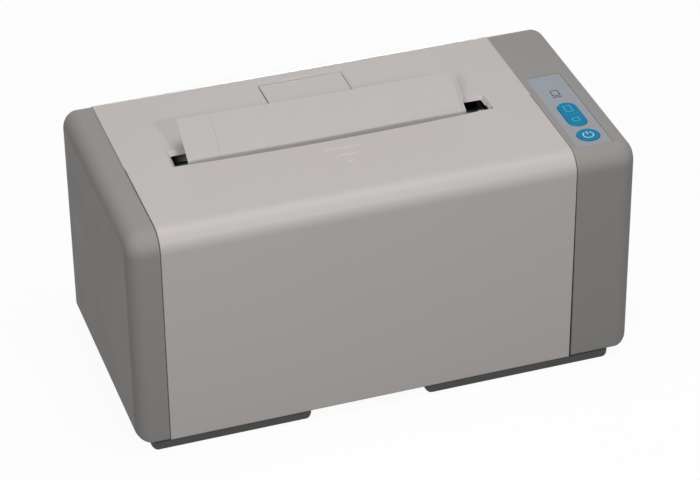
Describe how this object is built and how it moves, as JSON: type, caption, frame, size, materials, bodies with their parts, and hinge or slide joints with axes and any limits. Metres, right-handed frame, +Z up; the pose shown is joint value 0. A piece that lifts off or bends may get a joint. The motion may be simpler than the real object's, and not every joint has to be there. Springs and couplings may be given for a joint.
{
  "type": "countertop wipes dispenser",
  "caption": "Electric countertop dispenser that wets, feeds and cuts wipes from a dry roll, with a front cover that opens, a water tank under a fill lid, an exit slot and a key panel.",
  "frame": {"origin": "on the table, under the middle of the bounding box", "axes": "+X to the right of someone facing the front cover, +Y to the rear, +Z up"},
  "size_m": [0.34, 0.17, 0.1841],
  "materials": {
    "white_plastic": "satin moulded",
    "grey_plastic": "fine satin moulded",
    "dark_plastic": "moulded",
    "frame_plastic": "moulded",
    "tank_plastic": "natural translucent",
    "panel_film": "printed film",
    "key_blue": "smooth",
    "black_rubber": "matt",
    "clear_hose": "silicone",
    "steel": "ground",
    "gear_white": "acetal",
    "brass_gear": "machined",
    "motor_can": "drawn can",
    "board_green": "solder mask",
    "wipe_paper": "nonwoven sheet",
    "core_card": "wound card",
    "lamp_clear": "clear"
  },
  "bodies": {
    "chassis": {"arm_pivot_bar": "steel", "base_tray": "grey_plastic", "blade_beam": "steel", "blade_screws": "steel", "board_stands": "frame_plastic", "catch_magnets": "steel", "control_board": "board_green", "control_panel": "panel_film", "cover_hinge_pins": "steel", "cutter_motor": "motor_can", "exit_guide": "frame_plastic", "feed_motor": "motor_can", "fixed_blade": "steel", "foot_pads": "black_rubber", "indicator_lamp": "lamp_clear", "key_board": "board_green", "key_switches": "frame_plastic", "left_end_cap": "grey_plastic", "left_foot": "dark_plastic", "left_mechanism_plate": "steel", "left_side_frame": "frame_plastic", "lid_hinge_pin": "steel", "plate_screws": "steel", "power_inlet": "frame_plastic", "rear_panel": "white_plastic", "right_end_cap": "grey_plastic", "right_foot": "dark_plastic", "right_mechanism_plate": "steel", "right_side_frame": "frame_plastic", "suction_hose": "clear_hose", "supply_hose": "clear_hose", "tie_bar_1": "steel", "tie_bar_2": "steel", "water_pump": "frame_plastic", "water_tank": "tank_plastic", "web_guide_bar": "steel", "wetting_bar": "frame_plastic", "wipe_sheet": "wipe_paper", "wipe_web": "wipe_paper"},
    "front_cover_body": {"front_cover": "white_plastic", "catch_plates": "steel"},
    "fill_lid_body": {"fill_lid": "white_plastic", "lid_seal": "black_rubber"},
    "roll": {"roll_spindle": "frame_plastic", "roll_core": "core_card", "wipe_roll": "wipe_paper"},
    "feed_roller_body": {"feed_roller": "black_rubber", "feed_shaft": "steel", "feed_gear": "gear_white"},
    "feed_pinion_body": {"feed_pinion": "brass_gear"},
    "pinch_arm": {"pinch_arms": "frame_plastic"},
    "pinch_roller_body": {"pinch_roller": "black_rubber", "pinch_shaft": "steel"},
    "cutter": {"cutter_blade": "steel", "cutter_drum": "steel", "cutter_gear": "gear_white"},
    "cutter_pinion_body": {"cutter_pinion": "brass_gear"},
    "length_key_body": {"length_key": "key_blue"},
    "power_key_body": {"power_key": "key_blue"}
  },
  "joints": [
    {"name": "front_cover_hinge", "type": "hinge", "parent": "chassis", "child": "front_cover_body", "pos_m": [-0.011, -0.081, 0.012], "axis": [1, 0, 0], "range_deg": [0, 85]},
    {"name": "fill_lid_hinge", "type": "hinge", "parent": "chassis", "child": "fill_lid_body", "pos_m": [-0.01, 0.0681, 0.1632], "axis": [-1, 0, 0], "range_deg": [0, 100]},
    {"name": "roll_spin", "type": "hinge", "parent": "chassis", "child": "roll", "pos_m": [-0.0145, -0.032, 0.054], "axis": [1, 0, 0], "continuous": true},
    {"name": "feed_roller_spin", "type": "hinge", "parent": "chassis", "child": "feed_roller_body", "pos_m": [-0.0145, 0.0005, 0.118], "axis": [1, 0, 0], "continuous": true},
    {"name": "feed_pinion_spin", "type": "hinge", "parent": "chassis", "child": "feed_pinion_body", "pos_m": [0.107, 0.0177, 0.10595], "axis": [1, 0, 0], "continuous": true},
    {"name": "pinch_arm_swing", "type": "hinge", "parent": "chassis", "child": "pinch_arm", "pos_m": [-0.0145, -0.032, 0.124], "axis": [1, 0, 0], "range_deg": [-22, 0], "stiffness_Nm_per_rad": 0.3, "springref_deg": 11.46},
    {"name": "pinch_roller_spin", "type": "hinge", "parent": "pinch_arm", "child": "pinch_roller_body", "pos_m": [-0.0145, -0.0155, 0.118], "axis": [1, 0, 0], "continuous": true},
    {"name": "cutter_spin", "type": "hinge", "parent": "chassis", "child": "cutter", "pos_m": [-0.0145, -0.0153, 0.138], "axis": [1, 0, 0], "continuous": true},
    {"name": "cutter_pinion_spin", "type": "hinge", "parent": "chassis", "child": "cutter_pinion_body", "pos_m": [-0.132, 0.0027, 0.138], "axis": [1, 0, 0], "continuous": true},
    {"name": "length_key_press", "type": "slide", "parent": "chassis", "child": "length_key_body", "axis": [0, 0, -1], "range_m": [0, 0.0008], "stiffness_N_per_m": 800, "springref_m": -0.0004},
    {"name": "power_key_press", "type": "slide", "parent": "chassis", "child": "power_key_body", "axis": [0, 0, -1], "range_m": [0, 0.0008], "stiffness_N_per_m": 800, "springref_m": -0.0004}
  ],
  "couplings": [
    {"joint": "feed_roller_spin", "follows": "roll_spin", "ratio": -4.4444},
    {"joint": "feed_pinion_spin", "follows": "roll_spin", "ratio": 11.111},
    {"joint": "pinch_roller_spin", "follows": "roll_spin", "ratio": 6.6667},
    {"joint": "cutter_pinion_spin", "follows": "cutter_spin", "ratio": -2}
  ]
}
